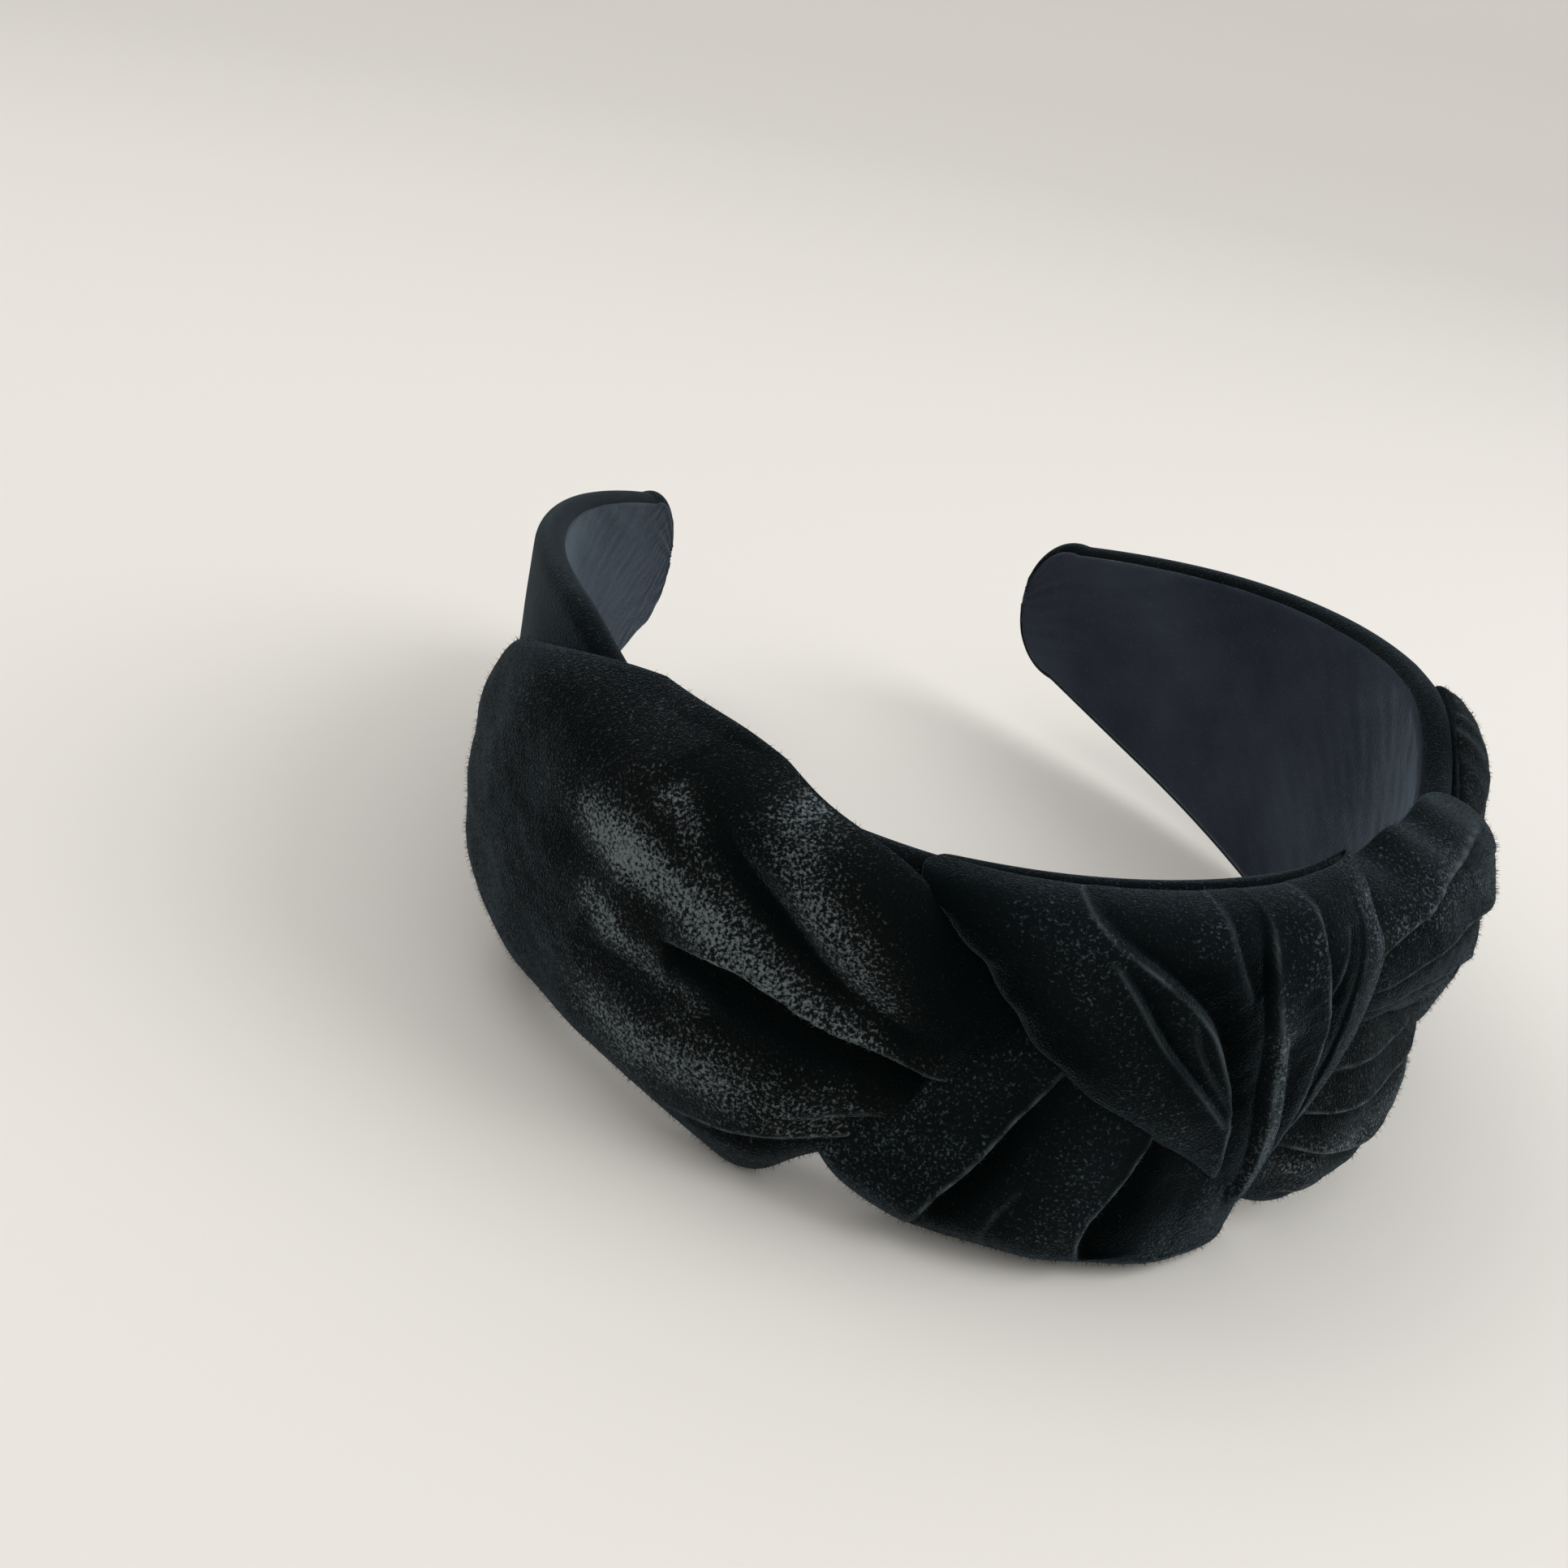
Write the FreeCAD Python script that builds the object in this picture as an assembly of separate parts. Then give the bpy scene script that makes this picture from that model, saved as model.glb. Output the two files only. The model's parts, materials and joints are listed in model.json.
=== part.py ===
"""Braided velvet headband, standing on its lower edge.

The band is an open hoop seen from above: the crown is toward -Y, the two legs end in
tips toward +Y, and +Z runs across the width of the band.  The origin is the middle of
the rest plane.  A place on the band is given in hoop coordinates: s along the hoop from
the middle of the crown (negative to the left), n outward from the middle of the plastic
hoop, and z up.
"""
import FreeCAD, Part

import math
import os

# ---- driving dimensions, millimetres -------------------------------------------------
# Half of the hoop, from the middle of the crown to a tip: (radius, degrees turned).
HOOP_ARCS = ((57.0, 34.0), (76.0, 25.7), (93.0, 36.8), (124.0, 18.1), (286.0, 7.8))

CROWN_HALF_WIDTH = 20.5     # wrapped hoop under the braid
BAND_HALF_WIDTH = 28.0      # wrapped hoop at the shoulders, where the braid ends
LEG_HALF_WIDTH = 23.0       # wrapped leg, halfway from the shoulder to the tip
TIP_HALF_WIDTH = 13.5       # wrapped leg, just before its rounded tip
MID_Z = 28.0                # middle of the band above the rest plane
TIP_LENGTH = 12.0           # length of the rounded tip

FLARE_S = 76.0              # where the crown starts to widen to the shoulder
FLEX_S = 106.0              # where a leg starts to bend outward
FLEX_GAP = 0.15             # each side of that line

CORE_HALF = 1.0             # half the thickness of the plastic hoop
CLOTH = 1.2                 # velvet, pile and backing together
PLAY = 0.1                  # clearance between glued layers
EDGE_HEM = 2.6              # how far the velvet folds over the inner edge

FOAM_HEIGHT = 2.0
FOAM_HALF_LENGTH = 94.0
FOAM_HALF_WIDTH = 17.0

STRAND_CLOTH = 0.7          # velvet of a braided tube
LEAST_HALF = 0.2            # half thickness of the wadding where a tube is pressed flat

GLUE_S = (82.0, 92.0)       # from the middle of the crown, at each end of the braid
GLUE_HEIGHT = 0.3
GLUE_HALF_WIDTH = 3.0
STITCH_S = 99.0
STITCH_RADIUS = 0.35
STITCH_PITCH = 6.0
STITCHES_PER_END = 4

WRAP_TOP = CORE_HALF + PLAY + CLOTH
CROWN_TOP = CORE_HALF + PLAY + FOAM_HEIGHT + PLAY + CLOTH
STITCH_TOP = CROWN_TOP - PLAY

# The three braided tubes.  Each station is (s, z, n, half width, half thickness).
STRANDS = {
    "puff_strand": (
        (-101, 28, 5.6, 15, 1.2), (-94, 28, 7.4, 22, 2.6), (-80, 27, 8.3, 25, 3.4),
        (-58, 26, 8.6, 25, 3.6), (-40, 24, 8.4, 18, 3.4), (-27, 21, 7.4, 12, 2.4),
        (-14, 21, 5.7, 11, 1.2), (10, 23, 5.7, 11, 1.2), (25, 19, 6.9, 10, 2.2),
        (38, 12, 8.6, 12, 3.2), (52, 12, 8.2, 11, 2.8), (66, 18, 6.2, 10, 1.4),
        (92, 22, 5.2, 8, 0.6)),
    "rising_strand": (
        (-92, 13, 4.9, 7, 0.5), (-60, 12, 4.9, 8, 0.5), (-42, 9, 5.0, 9, 0.6),
        (-30, 10, 7.2, 11, 2.2), (-17, 19, 9.0, 12, 3.0), (-4, 28, 7.6, 10, 0.9),
        (12, 36, 7.6, 9, 0.9), (28, 41, 7.8, 11, 2.6), (44, 43, 8.7, 12, 3.4),
        (58, 38, 9.4, 13, 3.4), (70, 27, 9.6, 12, 3.2), (80, 15, 9.0, 11, 2.6),
        (90, 12, 8.2, 9, 1.0)),
    "fan_strand": (
        (-92, 42, 4.9, 7, 0.5), (-50, 42, 4.9, 8, 0.5), (-30, 42, 5.6, 11, 1.0),
        (-13, 43, 8.6, 12, 3.0), (2, 35, 10.2, 17, 2.8), (9, 24, 10.4, 14, 2.8),
        (15, 13, 9.6, 13, 2.8), (27, 9, 5.6, 9, 1.0), (50, 18, 5.0, 8, 0.6),
        (70, 26, 5.2, 12, 0.8), (84, 27, 7.0, 21, 2.0), (94, 28, 7.4, 22, 2.6),
        (101, 28, 5.6, 15, 1.2)),
}
SECTION_SIDES = 10          # flat faces round a braided tube
SECTION_PITCH = 8.0         # most distance between two rings of a tube
STRAND_ORDER = ("fan_strand", "rising_strand", "puff_strand")   # outermost first


# ---- hoop coordinates ----------------------------------------------------------------
def half_curve():
    """Arcs of the right half: start s, end s, centre x, centre y, radius, start angle."""
    pieces = []
    s, x, y, heading = 0.0, 0.0, 0.0, 0.0
    for radius, degrees in HOOP_ARCS:
        turn = math.radians(degrees)
        centre_x = x - radius * math.sin(heading)
        centre_y = y + radius * math.cos(heading)
        pieces.append((s, s + radius * turn, centre_x, centre_y, radius, heading))
        heading += turn
        s += radius * turn
        x = centre_x + radius * math.sin(heading)
        y = centre_y - radius * math.cos(heading)
    return pieces


HALF_CURVE = half_curve()
HOOP_END = HALF_CURVE[-1][1]


def plan_point(s, n):
    """x and y of a point at s along the hoop and n outside its middle line."""
    side = -1.0 if s < 0 else 1.0
    along = min(abs(s), HOOP_END)
    for start, end, centre_x, centre_y, radius, heading in HALF_CURVE:
        if along <= end:
            break
    angle = heading + (along - start) / radius
    reach = radius + n
    return side * (centre_x + reach * math.sin(angle)), centre_y - reach * math.cos(angle)


# The crown's outermost point and the tips fix where the middle of the rest plane lies.
BRAID_TOP = max(n + t for stations in STRANDS.values() for _, _, n, _, t in stations)
TIP_Y = max(plan_point(HOOP_END, n)[1] for n in (-WRAP_TOP, WRAP_TOP))
ORIGIN_Y = (TIP_Y - BRAID_TOP) / 2.0


def place(s, n, z):
    x, y = plan_point(s, n)
    return FreeCAD.Vector(x, y - ORIGIN_Y, z)


# ---- bands: cloth, plastic and foam layers that follow the hoop ------------------------
def arc_edges(s_from, s_to, n):
    """Edges along the hoop at offset n, split where the radius changes."""
    breaks = {s_from, s_to}
    for start, _, _, _, _, _ in HALF_CURVE:
        breaks.update(b for b in (start, -start) if s_from < b < s_to)
    stops = sorted(breaks)
    edges = []
    for a, b in zip(stops, stops[1:]):
        arc = Part.Arc(place(a, n, 0), place((a + b) / 2.0, n, 0), place(b, n, 0))
        edges.append(arc.toShape())
    return edges


def band(s_from, s_to, n_in, n_out, half_width):
    """A layer of constant width between two offsets."""
    outer = arc_edges(s_from, s_to, n_out)
    inner = arc_edges(s_from, s_to, n_in)
    ends = [Part.makeLine(place(s, n_in, 0), place(s, n_out, 0)) for s in (s_from, s_to)]
    wire = Part.Wire(Part.__sortEdges__(outer + inner + ends))
    solid = Part.Face(wire).extrude(FreeCAD.Vector(0, 0, 2.0 * half_width))
    solid.translate(FreeCAD.Vector(0, 0, MID_Z - half_width))
    return solid


def outline(inset):
    """Prism with the side view of half of the band, `inset` inside the finished edge."""
    front_y = place(0.0, BRAID_TOP, 0.0).y - BAND_HALF_WIDTH
    flare_y = place(FLARE_S, 0.0, 0.0).y
    flex_y = place(FLEX_S, 0.0, 0.0).y
    end_y = TIP_Y - ORIGIN_Y - inset
    round_y = end_y - TIP_LENGTH
    crown = CROWN_HALF_WIDTH - inset
    wide = BAND_HALF_WIDTH - inset
    middle = LEG_HALF_WIDTH - inset
    narrow = TIP_HALF_WIDTH - inset
    half_x = BAND_HALF_WIDTH * 5.0

    def at(y, z):
        return FreeCAD.Vector(-half_x, y, MID_Z + z)

    def edge(side):
        """One edge of the band, from the crown to the tip."""
        under = Part.makeLine(at(front_y, side * crown), at(flare_y, side * crown))
        flare = Part.makeLine(at(flare_y, side * crown), at(flex_y, side * wide))
        taper = Part.Arc(at(flex_y, side * wide), at((flex_y + round_y) / 2.0, side * middle),
                         at(round_y, side * narrow)).toShape()
        return [under, flare, taper]

    front = Part.makeLine(at(front_y, -crown), at(front_y, crown))
    tip = Part.Arc(at(round_y, -narrow), at(end_y, 0.0), at(round_y, narrow)).toShape()
    wire = Part.Wire(Part.__sortEdges__(edge(-1) + edge(1) + [front, tip]))
    return Part.Face(wire).extrude(FreeCAD.Vector(2.0 * half_x, 0, 0))


def shaped_layer(s_from, s_to, n_in, n_out, inset):
    strip = band(s_from, s_to, n_in, n_out, 2.0 * BAND_HALF_WIDTH)
    return strip.common(outline(inset))


def leg_layer(n_in, n_out, inset):
    """A layer of the right leg, from the flex line to its rounded tip."""
    return shaped_layer(FLEX_S + FLEX_GAP, HOOP_END, n_in, n_out, inset)


def crown_layer(n_in, n_out, inset):
    """A layer of the crown, from one flex line to the other."""
    reach = FLEX_S - FLEX_GAP
    return shaped_layer(-reach, reach, n_in, n_out, inset)


# ---- the wrapped hoop ------------------------------------------------------------------
def wrapped(layer, n_out):
    """Velvet over the outer face and both edges, hemmed onto the inner face."""
    skin = layer(-WRAP_TOP, n_out, 0.0)
    pocket = layer(-CORE_HALF - PLAY, CORE_HALF + PLAY, CLOTH)
    mouth = layer(-WRAP_TOP - CLOTH, 0.0, CLOTH + EDGE_HEM)
    return skin.cut(pocket).cut(mouth)


def crown_cover():
    """Crown velvet, raised over the foam strip."""
    raised = band(-FOAM_HALF_LENGTH - CLOTH, FOAM_HALF_LENGTH + CLOTH, WRAP_TOP - PLAY,
                  CROWN_TOP, FOAM_HALF_WIDTH + CLOTH + PLAY)
    foam_room = band(-FOAM_HALF_LENGTH - PLAY, FOAM_HALF_LENGTH + PLAY, 0.0,
                     CROWN_TOP - CLOTH, FOAM_HALF_WIDTH + PLAY)
    return wrapped(crown_layer, WRAP_TOP).fuse(raised).cut(foam_room).removeSplitter()


def foam_strip():
    low = CORE_HALF + PLAY
    return band(-FOAM_HALF_LENGTH, FOAM_HALF_LENGTH, low, low + FOAM_HEIGHT, FOAM_HALF_WIDTH)


def lining(layer):
    """Inner strip, set between the two hems."""
    return layer(-WRAP_TOP, -CORE_HALF - PLAY, CLOTH + EDGE_HEM + PLAY)


def core(layer):
    return layer(-CORE_HALF, CORE_HALF, CLOTH + PLAY)


# ---- the braid -------------------------------------------------------------------------
def smooth_value(before, here, after, beyond, share):
    """Catmull-Rom value between `here` and `after`."""
    slope_in = (after - before) / 2.0
    slope_out = (beyond - here) / 2.0
    rise = after - here
    return (here + slope_in * share + (3 * rise - 2 * slope_in - slope_out) * share ** 2
            + (slope_in + slope_out - 2 * rise) * share ** 3)


def fine_stations(stations):
    """The stations with smooth ones between them, at most SECTION_PITCH apart."""
    last = len(stations) - 1
    fine = []
    for i in range(last):
        four = [stations[min(max(i + k, 0), last)] for k in (-1, 0, 1, 2)]
        length = math.hypot(four[2][0] - four[1][0], four[2][1] - four[1][1])
        steps = math.ceil(length / SECTION_PITCH)
        for step in range(steps):
            share = step / steps
            fine.append([smooth_value(*values, share) for values in zip(*four)])
    fine.append([float(value) for value in stations[last]])
    return fine


def ring(stations, i, inset):
    """Flattened ring of points across the tube at one station."""
    s, z, n, half_width, half_height = stations[i]
    before = stations[max(i - 1, 0)]
    after = stations[min(i + 1, len(stations) - 1)]
    along_s = after[0] - before[0]
    along_z = after[1] - before[1]
    length = math.hypot(along_s, along_z)
    points = []
    for k in range(SECTION_SIDES):
        angle = 2.0 * math.pi * (k + 0.5) / SECTION_SIDES
        across = (half_width - inset) * math.cos(angle)
        rise = max(half_height - inset, LEAST_HALF) * math.sin(angle)
        lift = min(max(z + across * along_s / length, 0.0), 2.0 * MID_Z)
        points.append(place(s - across * along_z / length, n + rise, lift))
    return points


def faceted_tube(stations, inset, ends=(0, 0)):
    """Closed tube of flat triangles through the stations, shortened by `ends` rings."""
    rings = [ring(stations, i, inset) for i in range(ends[0], len(stations) - ends[1])]
    faces = []

    def triangle(a, b, c):
        faces.append(Part.Face(Part.makePolygon([a, b, c, a])))

    for first, second in zip(rings, rings[1:]):
        for k in range(SECTION_SIDES):
            m = (k + 1) % SECTION_SIDES
            triangle(first[k], first[m], second[m])
            triangle(first[k], second[m], second[k])
    for end in (rings[0], rings[-1]):
        middle = sum(end[1:], end[0]) * (1.0 / SECTION_SIDES)
        for k in range(SECTION_SIDES):
            triangle(middle, end[k], end[(k + 1) % SECTION_SIDES])
    solid = Part.Solid(Part.makeShell(faces))
    if solid.Volume < 0:
        solid.reverse()
    return solid


def braid():
    """Velvet tube and wadding of each strand, trimmed where the strands press together."""
    covers = {}
    fills = {}
    seat = band(-FLEX_S, FLEX_S, -WRAP_TOP, CROWN_TOP + GLUE_HEIGHT, BAND_HALF_WIDTH)
    fill_seat = band(-FLEX_S, FLEX_S, -WRAP_TOP, CROWN_TOP + GLUE_HEIGHT + STRAND_CLOTH / 2.0,
                     BAND_HALF_WIDTH)
    taken = [seat]
    grown = [fill_seat]
    for name in STRAND_ORDER:
        stations = fine_stations(STRANDS[name])
        tube = faceted_tube(stations, 0.0)
        fill = faceted_tube(stations, STRAND_CLOTH, (1, 1))
        for other, thick_other in zip(taken, grown):
            tube = tube.cut(other)
            fill = fill.cut(thick_other)
        taken.append(tube)
        grown.append(faceted_tube(stations, -STRAND_CLOTH))
        fills[name] = largest(fill)
        covers[name] = largest(largest(tube).cut(fills[name]))
    return covers, fills


def largest(shape):
    """The main solid of a trimmed shape, without loose slivers."""
    return max(shape.Solids, key=lambda solid: solid.Volume)


def end_glue():
    """Glue pad that holds the right end of the braid to the crown cover."""
    return band(*GLUE_S, CROWN_TOP, CROWN_TOP + GLUE_HEIGHT, GLUE_HALF_WIDTH)


def tack_stitches():
    """Thread tacks between the crown cover and the two ends of the braid."""
    tacks = []
    for s in (-STITCH_S, STITCH_S):
        foot = place(s, WRAP_TOP, 0)
        head = place(s, STITCH_TOP, 0)
        for step in range(STITCHES_PER_END):
            rise = (step - (STITCHES_PER_END - 1) / 2.0) * STITCH_PITCH
            low = FreeCAD.Vector(foot.x, foot.y, MID_Z + rise)
            tacks.append(Part.makeCylinder(STITCH_RADIUS, STITCH_TOP - WRAP_TOP, low, head - foot))
    return Part.makeCompound(tacks)


def end_pieces():
    """The right leg's layers and the right end's glue."""
    return {"leg_cover": wrapped(leg_layer, WRAP_TOP), "leg_lining": lining(leg_layer),
            "hoop_core": core(leg_layer), "end_glue": end_glue()}


def all_pieces():
    pieces = {"hoop_core_crown": core(crown_layer), "foam_strip": foam_strip(),
              "crown_cover": crown_cover(), "crown_lining": lining(crown_layer),
              "tack_stitches": tack_stitches()}
    for name, piece in end_pieces().items():
        pieces[name + "_right"] = piece
        pieces[name + "_left"] = piece.mirror(FreeCAD.Vector(0, 0, 0), FreeCAD.Vector(1, 0, 0))
    covers, fills = braid()
    for name in STRAND_ORDER:
        pieces[name + "_cover"] = covers[name]
        pieces[name + "_fill"] = fills[name]
    return pieces


if __name__ == "__main__":
    os.makedirs("parts", exist_ok=True)
    for name, piece in all_pieces().items():
        box = piece.BoundBox
        print(name, len(piece.Solids), piece.isValid(), round(piece.Volume),
              [round(v, 1) for v in (box.XMin, box.XMax, box.YMin, box.YMax, box.ZMin, box.ZMax)])
        piece.exportStep("parts/" + name + ".step")
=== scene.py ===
# %% [markdown]
# # A velvet headband with a plaited crown
# The band is an open plastic hoop wrapped in black velvet. Three padded velvet tubes are
# plaited over its crown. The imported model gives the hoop, the joints and every place; this
# lesson makes the cloth that covers it.

# %% Load the fixed model
import json
import math

import bpy
import numpy as np
from mathutils import Euler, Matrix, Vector
from mathutils.kdtree import KDTree


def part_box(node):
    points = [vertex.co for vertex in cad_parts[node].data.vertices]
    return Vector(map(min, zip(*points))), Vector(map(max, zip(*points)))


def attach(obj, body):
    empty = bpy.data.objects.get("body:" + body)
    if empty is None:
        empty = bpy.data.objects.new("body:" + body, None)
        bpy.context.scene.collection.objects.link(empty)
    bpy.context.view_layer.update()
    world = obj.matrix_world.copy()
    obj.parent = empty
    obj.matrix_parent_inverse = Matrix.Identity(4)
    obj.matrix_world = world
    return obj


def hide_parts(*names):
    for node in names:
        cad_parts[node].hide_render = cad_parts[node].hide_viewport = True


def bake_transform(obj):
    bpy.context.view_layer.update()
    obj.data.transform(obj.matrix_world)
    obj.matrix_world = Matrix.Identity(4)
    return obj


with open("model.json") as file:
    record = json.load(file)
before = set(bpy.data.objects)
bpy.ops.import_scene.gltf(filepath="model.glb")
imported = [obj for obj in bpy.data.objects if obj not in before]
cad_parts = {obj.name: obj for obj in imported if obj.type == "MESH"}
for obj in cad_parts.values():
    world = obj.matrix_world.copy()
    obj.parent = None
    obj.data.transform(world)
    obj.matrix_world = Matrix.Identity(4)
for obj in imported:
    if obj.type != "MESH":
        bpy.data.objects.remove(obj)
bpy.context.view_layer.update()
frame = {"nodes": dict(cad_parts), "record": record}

# %% [markdown]
# ## Hoop coordinates
# Cloth on a hoop is easy to think of in the hoop's own terms: s runs along the hoop from
# the middle of the crown (left is negative), z up across the band, and n outward from the
# middle of the plastic. Half of the hoop is five arcs that run into each other, so one small
# function turns (s, z, n) into a point. Bending a flat grid with a Curve modifier would also
# work, but the cloth's thickness and folds would then be harder to place.

# %% Hoop coordinates, in millimetres
MM = 0.001
HOOP_ARCS = ((57.0, 34.0), (76.0, 25.7), (93.0, 36.8), (124.0, 18.1), (286.0, 7.8))  # radius, degrees
CORE_HALF = 1.0
core_low, core_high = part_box("hoop_core_crown")
CROWN_Y = core_low[1] / MM + CORE_HALF
MID_Z = (core_low[2] + core_high[2]) / 2 / MM


def half_curve():
    """Start s, centre x and y, radius and heading of each arc of the right half."""
    rows = []
    s, x, y, heading = 0.0, 0.0, CROWN_Y, 0.0
    for radius, degrees in HOOP_ARCS:
        centre_x, centre_y = x - radius * math.sin(heading), y + radius * math.cos(heading)
        rows.append((s, centre_x, centre_y, radius, heading))
        heading += math.radians(degrees)
        s += radius * math.radians(degrees)
        x, y = centre_x + radius * math.sin(heading), centre_y - radius * math.cos(heading)
    return np.array(rows), s


ARCS, HOOP_END = half_curve()


def on_hoop(s, z, n):
    """Points in metres for arrays of hoop coordinates in millimetres."""
    s, z, n = np.broadcast_arrays(s, z, n)
    along = np.abs(s)
    arc = ARCS[np.searchsorted(ARCS[:, 0], along, side="right") - 1]
    angle = arc[..., 4] + (along - arc[..., 0]) / arc[..., 3]
    reach = arc[..., 3] + n
    x = np.sign(s) * (arc[..., 1] + reach * np.sin(angle))
    y = arc[..., 2] - reach * np.cos(angle)
    return np.stack([x, y, z], axis=-1) * MM


print("hoop is", round(2 * HOOP_END), "mm from tip to tip")

# %% [markdown]
# ## The outline of the wrapped band
# Seen from the front the band is narrow under the plait, widest at the shoulders, and tapers
# to rounded tips. A flat pattern would be cut on a bench. Here one function gives half of the
# width at any s, because the wrap, the lining and the strands' edges all have to agree on it.

# %% Outline of the wrapped hoop, in millimetres
CROWN_HALF, SHOULDER_HALF, LEG_HALF, TIP_HALF = 20.4, 28.0, 23.7, 14.4    # half widths
FLARE_S, FLARE_END = 62.0, 98.0      # the crown widens between these
FLEX_S, TIP_LENGTH = 106.0, 12.0     # the leg's joint, and the length of the rounded tip
TIP_ROUND = 2.2                      # 2 would be an ellipse; more is squarer
TIP_CUT = 0.985                      # share of the tip's length where its rows stop
TIP_LEAST = 0.0004                   # keeps the width above zero there
LEG_ROWS = 0.85                      # share of a grid's rows that lie before the tip
TIP_S = HOOP_END - TIP_LENGTH


def half_width(s, inset=0.0):
    """Half of the band's width at s, `inset` inside its edge."""
    s = np.abs(s)
    widen = np.clip((s - FLARE_S) / (FLARE_END - FLARE_S), 0, 1)
    crown = CROWN_HALF + (SHOULDER_HALF - CROWN_HALF) * widen ** 2 * (3 - 2 * widen)
    t = np.clip((s - FLEX_S) / (TIP_S - FLEX_S), 0, 1)
    leg = SHOULDER_HALF * (1 - t) * (1 - 2 * t) + 4 * LEG_HALF * t * (1 - t) + TIP_HALF * t * (2 * t - 1)
    wide = np.where(s < FLEX_S, crown, leg) - inset
    tip = np.clip((s - TIP_S) / (TIP_LENGTH - inset), 0, 1)
    return wide * np.sqrt(np.maximum(1 - tip ** TIP_ROUND, TIP_LEAST))


def station(v, inset=0.0):
    """s for v from 0 to 1, with the rows closer together where the tip closes."""
    t = np.clip((v - LEG_ROWS) / (1 - LEG_ROWS), 0, 1)
    tip = (TIP_LENGTH - inset) * TIP_CUT * np.sin(np.pi / 2 * t)
    return np.where(v < LEG_ROWS, TIP_S * v / LEG_ROWS, TIP_S + tip)


print("band is", [round(2 * float(half_width(s))) for s in (0, FLEX_S, TIP_S)],
      "mm wide at the crown, the shoulders and the tips")

# %% [markdown]
# ## A grid that becomes a tube
# Every cloth piece here starts as a grid primitive. Its two directions, u across and v
# along, are carried to a place on the hoop. For a tube, the seam where u meets itself is
# welded and the ends are filled. Extruding a ring along the hoop would do too, but a grid
# lets one function say where every point of the cloth goes.

# %% Shaping helpers
WELD = 0.00001              # m
WAVES = 7


def deselect():
    """Back to object mode with nothing selected."""
    if bpy.context.object and bpy.context.object.mode != "OBJECT":
        bpy.ops.object.mode_set(mode="OBJECT")
    bpy.ops.object.select_all(action="DESELECT")


def shaped_grid(name, across, along, shape, tube=True):
    """A grid primitive whose points go where shape(u, v) says; a tube is welded and closed."""
    deselect()
    bpy.ops.mesh.primitive_grid_add(x_subdivisions=across, y_subdivisions=along, size=1.0)
    piece = bpy.context.object
    piece.name = piece.data.name = name
    flat = np.empty(3 * len(piece.data.vertices))
    piece.data.vertices.foreach_get("co", flat)
    flat = flat.reshape(-1, 3)
    points = shape(flat[:, 0] + 0.5, flat[:, 1] + 0.5)
    piece.data.vertices.foreach_set("co", points.ravel())
    if tube:
        close_tube()
    bpy.ops.object.shade_smooth()
    return piece


def close_tube():
    """Weld the seam of the active piece, fill its ends and turn its faces outward."""
    bpy.ops.object.mode_set(mode="EDIT")
    bpy.ops.mesh.select_all(action="SELECT")
    bpy.ops.mesh.remove_doubles(threshold=WELD)
    bpy.ops.mesh.select_all(action="DESELECT")
    bpy.ops.mesh.select_non_manifold()
    bpy.ops.mesh.fill_holes(sides=0)
    bpy.ops.mesh.select_all(action="SELECT")
    bpy.ops.mesh.normals_make_consistent(inside=False)
    bpy.ops.object.mode_set(mode="OBJECT")


def smooth_rows(rows, v):
    """A smooth curve (Catmull-Rom) through rows of values, by the way between their middles.

    A row is a path's s and z, or a rib, whose first four values are its two edges.
    """
    rows = np.array(rows, float)
    middle = rows if rows.shape[1] == 2 else (rows[:, 0:2] + rows[:, 2:4]) / 2
    length = np.concatenate([[0], np.cumsum(np.linalg.norm(np.diff(middle, axis=0), axis=1) + 4.0)])
    place = np.interp(v, length / length[-1], np.arange(len(rows)))
    first = np.minimum(place.astype(int), len(rows) - 2)
    t = (place - first)[:, None]
    p0, p1 = rows[np.maximum(first - 1, 0)], rows[first]
    p2, p3 = rows[first + 1], rows[np.minimum(first + 2, len(rows) - 1)]
    return p1 + t * (p2 - p0) / 2 + t ** 2 * (p0 - 2.5 * p1 + 2 * p2 - p3 / 2) \
        + t ** 3 * (1.5 * (p1 - p2) + (p3 - p0) / 2)


def hills(x, y, seed):
    """Smooth uneven values, mostly from -1 to 1: a few sine waves at odd angles."""
    draw = np.random.default_rng(seed)
    total = np.zeros_like(x)
    for _ in range(WAVES):
        angle, phase = draw.uniform(0, 2 * np.pi, 2)
        rate = draw.uniform(0.6, 1.7)
        total += np.sin(rate * (x * np.cos(angle) + y * np.sin(angle)) * 2 * np.pi + phase)
    return total / 4.0


# %% [markdown]
# ## The plaited tubes
# On a bench each strand is a velvet tube stuffed with wadding, laid over and under the others
# and stitched down. A cloth simulation would give folds of its own, and these folds are given
# one by one, so each strand is shaped by ribs instead: a row says where the two edges of the tube lie
# on the hoop, how high its middle is and how thick it is there.

# %% Ribs of each strand: one edge s, z, other edge s, z, middle n, half thickness, in mm
PUFF_RIBS = (
    (-105, 20, -105, 37, 3.0, 0.8), (-102.5, 13.5, -102.5, 43, 5.0, 3.4), (-96.5, 9, -96.5, 49, 6.4, 6.0),
    (-82, 6.5, -80, 53.5, 6.8, 6.8), (-62, 3.4, -58, 53.5, 6.4, 6.6), (-47, 0.7, -41, 51.0, 6.4, 6.4),
    (-38.5, 0.3, -29.5, 48.2, 6.6, 5.8), (-30, 7.5, -20, 43, 5.4, 4.2), (-16, 14, -9, 34, 4.6, 1.8),
    (4, 14, 8, 30, 4.4, 1.2), (16, 9, 20, 28, 4.6, 2.4), (27, 2.8, 32, 30, 4.8, 4.4),
    (41, 1.6, 45, 28, 4.8, 4.6), (54, 3.5, 58, 26, 4.6, 3.6), (68, 8, 71, 28, 4.0, 1.4))
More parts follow.
